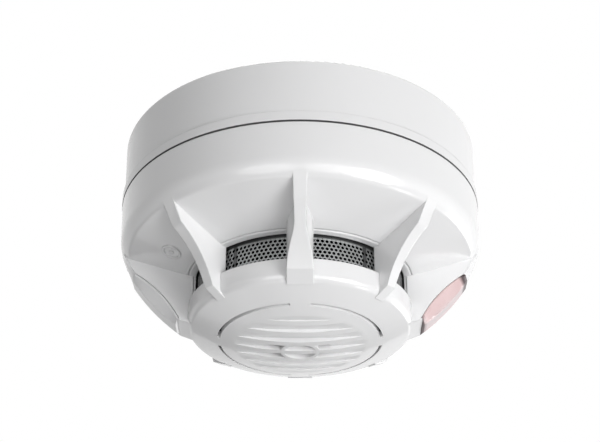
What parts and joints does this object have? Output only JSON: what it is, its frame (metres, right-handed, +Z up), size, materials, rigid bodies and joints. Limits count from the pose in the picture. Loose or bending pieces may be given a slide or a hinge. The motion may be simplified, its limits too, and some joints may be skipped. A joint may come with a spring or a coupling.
{
  "type": "heat detector",
  "caption": "Round ceiling heat detector: deep twist-lock base, finned head with screened air windows, indicator lens and slotted sounder nose.",
  "frame": {"origin": "centre of the base's ceiling face, on the axis of the cable entry", "axes": "+Z up into the ceiling along the twist axis; +X towards the bridge that carries the lens; -Y is the front"},
  "size_m": [0.11, 0.11, 0.0669],
  "materials": {
    "base_white": "satin moulded plastic, off-white",
    "cover_white": "satin moulded plastic, off-white",
    "insert_white": "satin moulded plastic, off-white",
    "rear_white": "plain moulded plastic, off-white",
    "lens_red": "cloudy pale red plastic, smooth",
    "grommet_rubber": "soft black rubber",
    "contact_brass": "stamped strip, plain",
    "clamp_steel": "zinc plated",
    "screw_steel": "zinc plated",
    "board_green": "solder mask on glass laminate",
    "chip_black": "moulded epoxy",
    "capacitor_sleeve": "shrunk sleeve",
    "lamp_red": "clear red resin",
    "reed_glass": "sealed glass tube",
    "switch_body": "moulded, red",
    "slider_white": "moulded, white",
    "chamber_black": "matt black, absorbs light",
    "emitter_blue": "clear tinted resin",
    "receiver_black": "dark resin",
    "screen_steel": "etched stainless sheet with round holes",
    "bead_amber": "dipped resin",
    "sounder_black": "moulded, black",
    "disc_brass": "rolled sheet"
  },
  "bodies": {
    "base": {"base_housing": "base_white", "cable_grommet": "grommet_rubber", "terminal_strip_1": "contact_brass", "terminal_strip_2": "contact_brass", "terminal_strip_3": "contact_brass", "terminal_strip_4": "contact_brass"},
    "head": {"head_cover": "cover_white", "indicator_lens": "lens_red", "blank_insert": "insert_white", "rear_cover": "rear_white", "contact_blades": "contact_brass", "cover_screws": "screw_steel", "circuit_board": "board_green", "microcontroller": "chip_black", "reservoir_capacitor": "capacitor_sleeve", "indicator_lamp": "lamp_red", "reed_switch": "reed_glass", "address_switch": "switch_body", "chamber_base": "chamber_black", "infrared_emitter": "emitter_blue", "light_receiver": "receiver_black", "insect_screens": "screen_steel", "chamber_lid": "chamber_black", "heat_sensors": "bead_amber", "sounder_housing": "sounder_black", "sounder_disc": "disc_brass"},
    "clamp_1": {"terminal_clamp_1": "clamp_steel"},
    "screw_1": {"terminal_screw_1": "screw_steel"},
    "clamp_2": {"terminal_clamp_2": "clamp_steel"},
    "screw_2": {"terminal_screw_2": "screw_steel"},
    "clamp_3": {"terminal_clamp_3": "clamp_steel"},
    "screw_3": {"terminal_screw_3": "screw_steel"},
    "clamp_4": {"terminal_clamp_4": "clamp_steel"},
    "screw_4": {"terminal_screw_4": "screw_steel"},
    "slider_1": {"address_slider_1": "slider_white"},
    "slider_2": {"address_slider_2": "slider_white"},
    "slider_3": {"address_slider_3": "slider_white"},
    "slider_4": {"address_slider_4": "slider_white"},
    "slider_5": {"address_slider_5": "slider_white"},
    "slider_6": {"address_slider_6": "slider_white"},
    "slider_7": {"address_slider_7": "slider_white"},
    "slider_8": {"address_slider_8": "slider_white"}
  },
  "joints": [
    {"name": "head_twist", "type": "hinge", "parent": "base", "child": "head", "pos_m": [0, 0, -0.0213], "axis": [0, 0, -1], "range_deg": [0, 18]},
    {"name": "clamp_1_lift", "type": "slide", "parent": "base", "child": "clamp_1", "axis": [0, 0, -1], "range_m": [0, 0.0014]},
    {"name": "screw_1_turn", "type": "hinge", "parent": "clamp_1", "child": "screw_1", "pos_m": [0.02475, 0.02475, -0.013], "axis": [0, 0, -1], "range_deg": [0, 720]},
    {"name": "clamp_2_lift", "type": "slide", "parent": "base", "child": "clamp_2", "axis": [0, 0, -1], "range_m": [0, 0.0014]},
    {"name": "screw_2_turn", "type": "hinge", "parent": "clamp_2", "child": "screw_2", "pos_m": [-0.02475, 0.02475, -0.013], "axis": [0, 0, -1], "range_deg": [0, 720]},
    {"name": "clamp_3_lift", "type": "slide", "parent": "base", "child": "clamp_3", "axis": [0, 0, -1], "range_m": [0, 0.0014]},
    {"name": "screw_3_turn", "type": "hinge", "parent": "clamp_3", "child": "screw_3", "pos_m": [-0.02475, -0.02475, -0.013], "axis": [0, 0, -1], "range_deg": [0, 720]},
    {"name": "clamp_4_lift", "type": "slide", "parent": "base", "child": "clamp_4", "axis": [0, 0, -1], "range_m": [0, 0.0014]},
    {"name": "screw_4_turn", "type": "hinge", "parent": "clamp_4", "child": "screw_4", "pos_m": [0.02475, -0.02475, -0.013], "axis": [0, 0, -1], "range_deg": [0, 720]},
    {"name": "slider_1_slide", "type": "slide", "parent": "head", "child": "slider_1", "axis": [0, 1, 0], "range_m": [0, 0.0014]},
    {"name": "slider_2_slide", "type": "slide", "parent": "head", "child": "slider_2", "axis": [0, 1, 0], "range_m": [0, 0.0014]},
    {"name": "slider_3_slide", "type": "slide", "parent": "head", "child": "slider_3", "axis": [0, 1, 0], "range_m": [0, 0.0014]},
    {"name": "slider_4_slide", "type": "slide", "parent": "head", "child": "slider_4", "axis": [0, 1, 0], "range_m": [0, 0.0014]},
    {"name": "slider_5_slide", "type": "slide", "parent": "head", "child": "slider_5", "axis": [0, 1, 0], "range_m": [0, 0.0014]},
    {"name": "slider_6_slide", "type": "slide", "parent": "head", "child": "slider_6", "axis": [0, 1, 0], "range_m": [0, 0.0014]},
    {"name": "slider_7_slide", "type": "slide", "parent": "head", "child": "slider_7", "axis": [0, 1, 0], "range_m": [0, 0.0014]},
    {"name": "slider_8_slide", "type": "slide", "parent": "head", "child": "slider_8", "axis": [0, 1, 0], "range_m": [0, 0.0014]}
  ],
  "couplings": [
    {"joint": "screw_1_turn", "follows": "clamp_1_lift", "rad_per_m": 8976},
    {"joint": "screw_2_turn", "follows": "clamp_2_lift", "rad_per_m": 8976},
    {"joint": "screw_3_turn", "follows": "clamp_3_lift", "rad_per_m": 8976},
    {"joint": "screw_4_turn", "follows": "clamp_4_lift", "rad_per_m": 8976}
  ]
}
